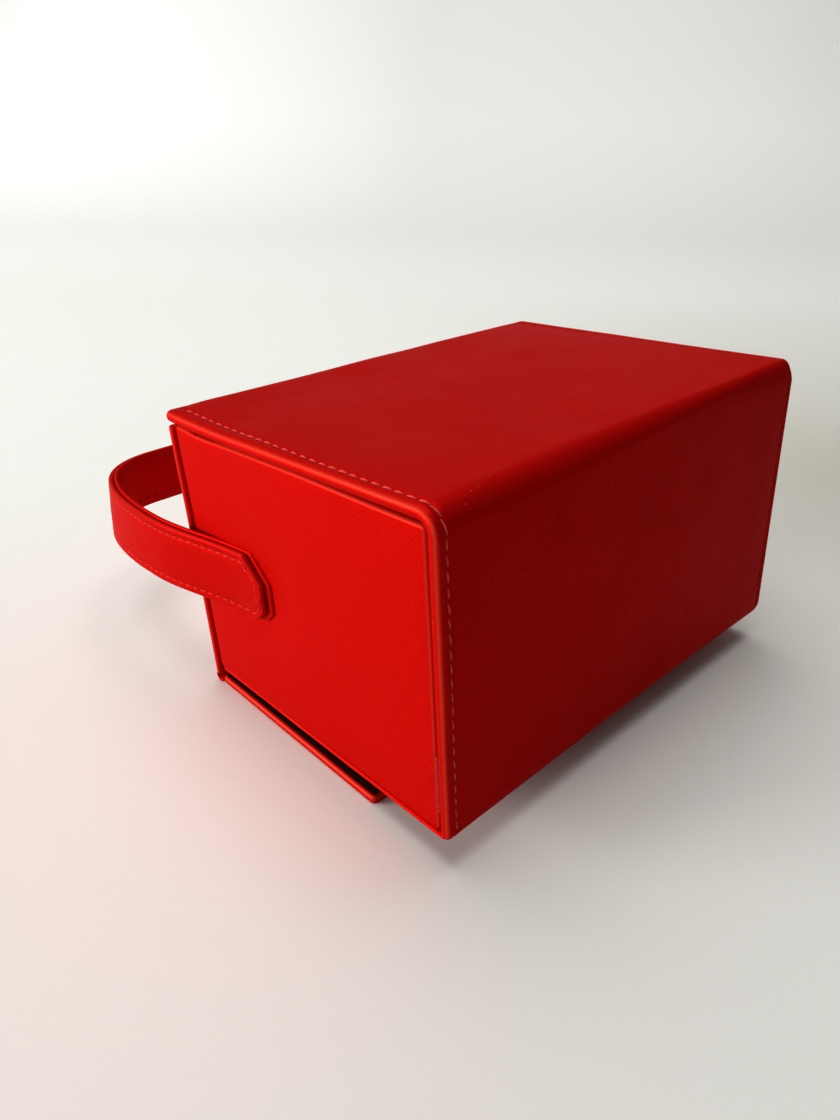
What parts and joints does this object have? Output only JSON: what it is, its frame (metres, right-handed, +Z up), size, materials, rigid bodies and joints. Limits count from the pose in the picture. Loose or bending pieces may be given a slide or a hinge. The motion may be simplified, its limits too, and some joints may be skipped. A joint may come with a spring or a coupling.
{
  "type": "box handbag",
  "caption": "Rigid satin-covered box handbag with a hinged lid, a magnetic closing flap and a stitched strap handle, lying on its flap.",
  "frame": {"origin": "middle of the closing flap's outer face, which the bag lies on", "axes": "+X from the lid to the base, across the bag; +Y along the bag from the near end panel to the far one; +Z up, from the front to the back panel"},
  "size_m": [0.1732, 0.159, 0.0927],
  "materials": {
    "red_satin": "satin weave over board, soft sheen",
    "strap_satin": "satin weave, edge stitched",
    "red_lining": "plain weave lining cloth, matt",
    "plated_steel": "nickel-plated magnet case",
    "brass": "plain tubular rivet"
  },
  "bodies": {
    "box": {"back_and_base_cover": "red_satin", "end_panel_near": "red_satin", "end_panel_far": "red_satin", "front_panel": "red_satin", "inner_lining": "red_lining", "lid_hinge_cloth": "red_satin", "handle_outer_layer": "strap_satin", "handle_inner_layer": "strap_satin", "handle_rivet_near_1": "brass", "handle_rivet_near_2": "brass", "handle_rivet_far_1": "brass", "handle_rivet_far_2": "brass", "front_magnet": "plated_steel"},
    "lid": {"lid_panel": "red_satin", "flap_hinge_cloth": "red_satin"},
    "flap": {"closing_flap": "red_satin", "flap_magnet": "plated_steel"}
  },
  "joints": [
    {"name": "lid_hinge", "type": "hinge", "parent": "box", "child": "lid", "pos_m": [-0.04548, 0, 0.07973], "axis": [0, 1, 0], "range_deg": [0, 42]},
    {"name": "flap_hinge", "type": "hinge", "parent": "lid", "child": "flap", "pos_m": [-0.0367, 0, 0.0019], "axis": [0, 1, 0], "range_deg": [0, 120]}
  ]
}
